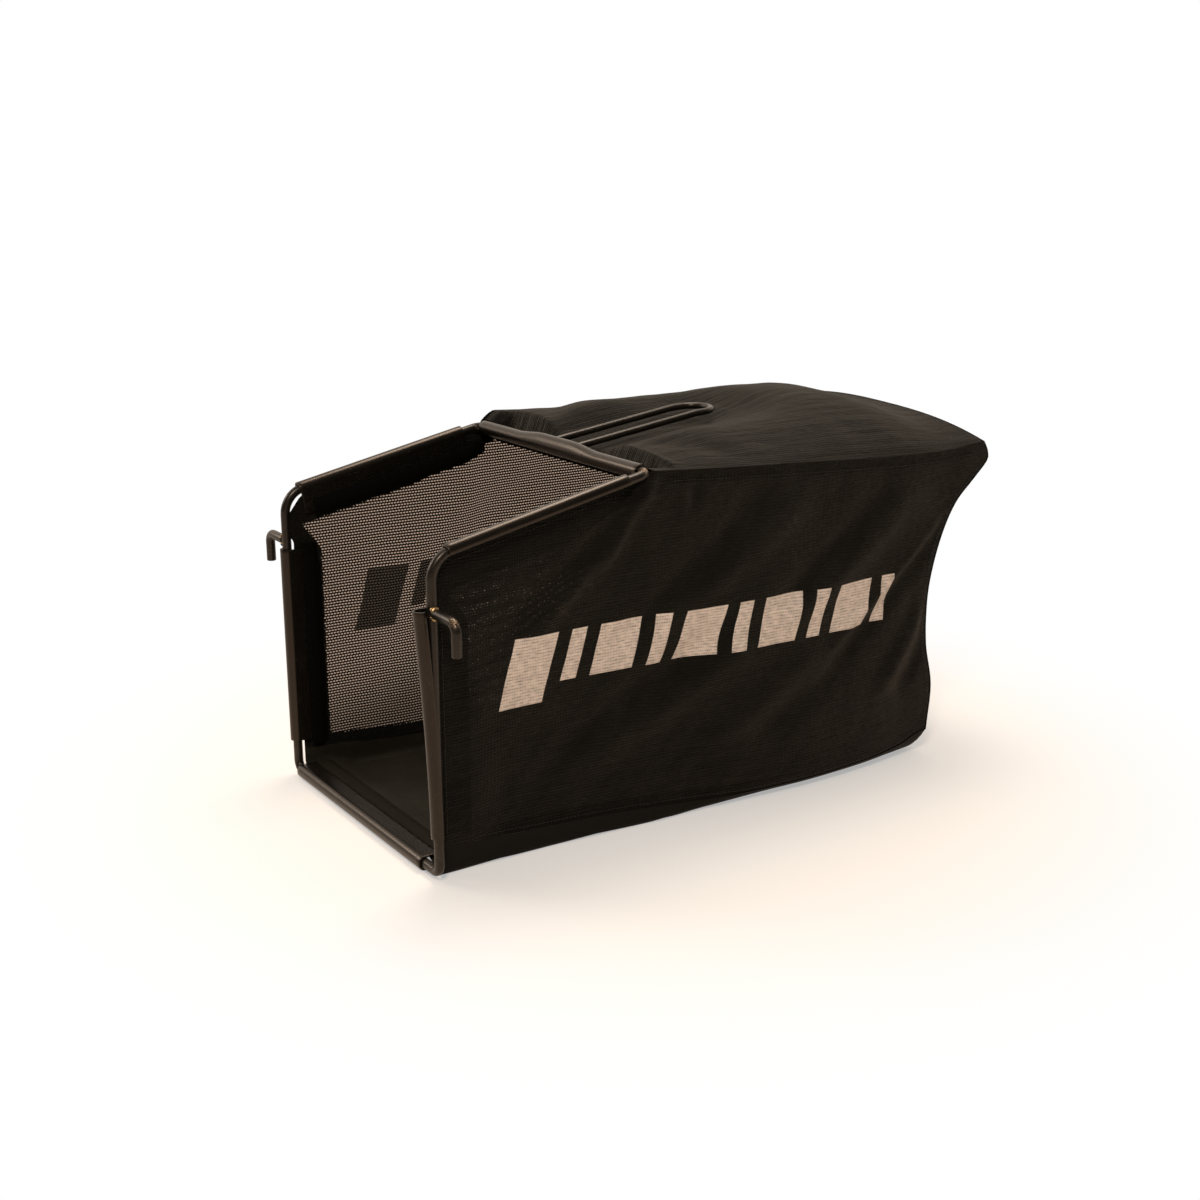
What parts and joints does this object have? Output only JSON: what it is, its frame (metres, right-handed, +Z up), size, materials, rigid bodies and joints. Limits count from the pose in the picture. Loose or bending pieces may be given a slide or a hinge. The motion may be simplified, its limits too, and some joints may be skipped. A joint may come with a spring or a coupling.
{
  "type": "grass catcher",
  "caption": "Rear grass catcher of a small walk-behind mower: a black wire mouth with side hooks and a carry handle, and a black mesh bag with a coated floor held on by plastic clips",
  "frame": {"origin": "on the ground, under the middle of the catcher's overall box", "axes": "+Z up; the mouth faces -Y and the bag runs back to +Y; +X is to the right for someone who looks into the mouth from the front along +Y"},
  "size_m": [0.342, 0.589, 0.3245],
  "materials": {
    "black_paint": "semi-gloss black paint, worn to bare metal at the bends and welds",
    "black_plastic": "satin black extruded plastic",
    "black_mesh": "black knitted polyester mesh",
    "coated_fabric": "dull black coated cloth"
  },
  "bodies": {
    "root": {"mouth_frame": "black_paint", "hook_left": "black_paint", "hook_right": "black_paint", "carry_handle": "black_paint", "support_hoop": "black_paint", "clip_bottom": "black_plastic", "clip_upright_left": "black_plastic", "clip_upright_right": "black_plastic", "clip_slant_left": "black_plastic", "clip_slant_right": "black_plastic", "clip_cross": "black_plastic", "side_panel_left": "black_mesh", "side_panel_right": "black_mesh", "top_panel": "black_mesh", "rear_panel": "black_mesh", "bottom_panel": "coated_fabric"}
  },
  "joints": []
}
